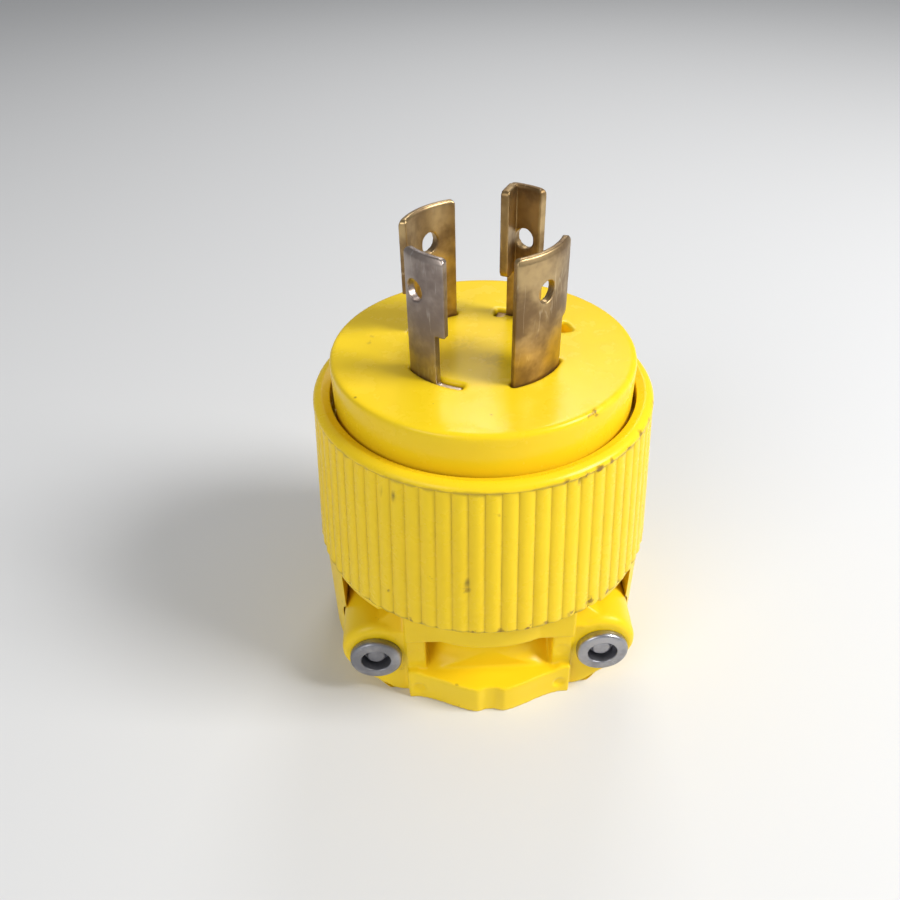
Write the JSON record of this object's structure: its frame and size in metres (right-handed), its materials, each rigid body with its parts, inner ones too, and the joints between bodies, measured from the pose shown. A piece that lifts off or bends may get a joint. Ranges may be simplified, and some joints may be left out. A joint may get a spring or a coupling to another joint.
{
  "type": "locking power plug",
  "caption": "Locking power plug with curved twist-lock blades in a round face, a ribbed grip sleeve and a screw clamp for the cord.",
  "frame": {"origin": "centre of the plug's axis on the plane that the cord end rests on", "axes": "+Z along the axis to the blades, -Y towards the cord clamp's nuts, +X to the right seen from the clamp"},
  "size_m": [0.0702, 0.0702, 0.0955],
  "materials": {
    "yellow_face": "smooth moulded nylon, lightly scuffed",
    "yellow_sleeve": "ribbed moulded nylon, grime along the edges",
    "yellow_housing": "smooth moulded nylon, satin",
    "yellow_jaw": "smooth moulded nylon, satin",
    "dark_block": "black moulded thermoset",
    "zinc_nut": "zinc plated, dull grey",
    "zinc_screw": "zinc plated steel",
    "plated_blade": "plated brass, dulled and streaked",
    "brass_blade": "brass, dulled, with handling marks",
    "ground_blade": "brass, dulled",
    "plated_terminal": "plated",
    "brass_terminal": "brass, plain",
    "green_screw": "green coated steel"
  },
  "bodies": {
    "root": {"face_insulator": "yellow_face", "terminal_block": "dark_block", "ribbed_sleeve": "yellow_sleeve", "rear_housing": "yellow_housing", "clamp_jaw": "yellow_jaw", "clamp_nut_left": "zinc_nut", "clamp_nut_right": "zinc_nut", "clamp_screw_left": "zinc_screw", "clamp_screw_right": "zinc_screw", "blade_neutral": "plated_blade", "blade_line_x": "brass_blade", "blade_line_y": "brass_blade", "blade_ground": "ground_blade", "terminal_clamp_neutral": "plated_terminal", "terminal_clamp_line_x": "brass_terminal", "terminal_clamp_line_y": "brass_terminal", "terminal_clamp_ground": "brass_terminal", "terminal_screw_neutral": "plated_terminal", "terminal_screw_line_x": "brass_terminal", "terminal_screw_line_y": "brass_terminal", "terminal_screw_ground": "green_screw", "assembly_screw_front": "zinc_screw", "assembly_screw_back": "zinc_screw"}
  },
  "joints": []
}
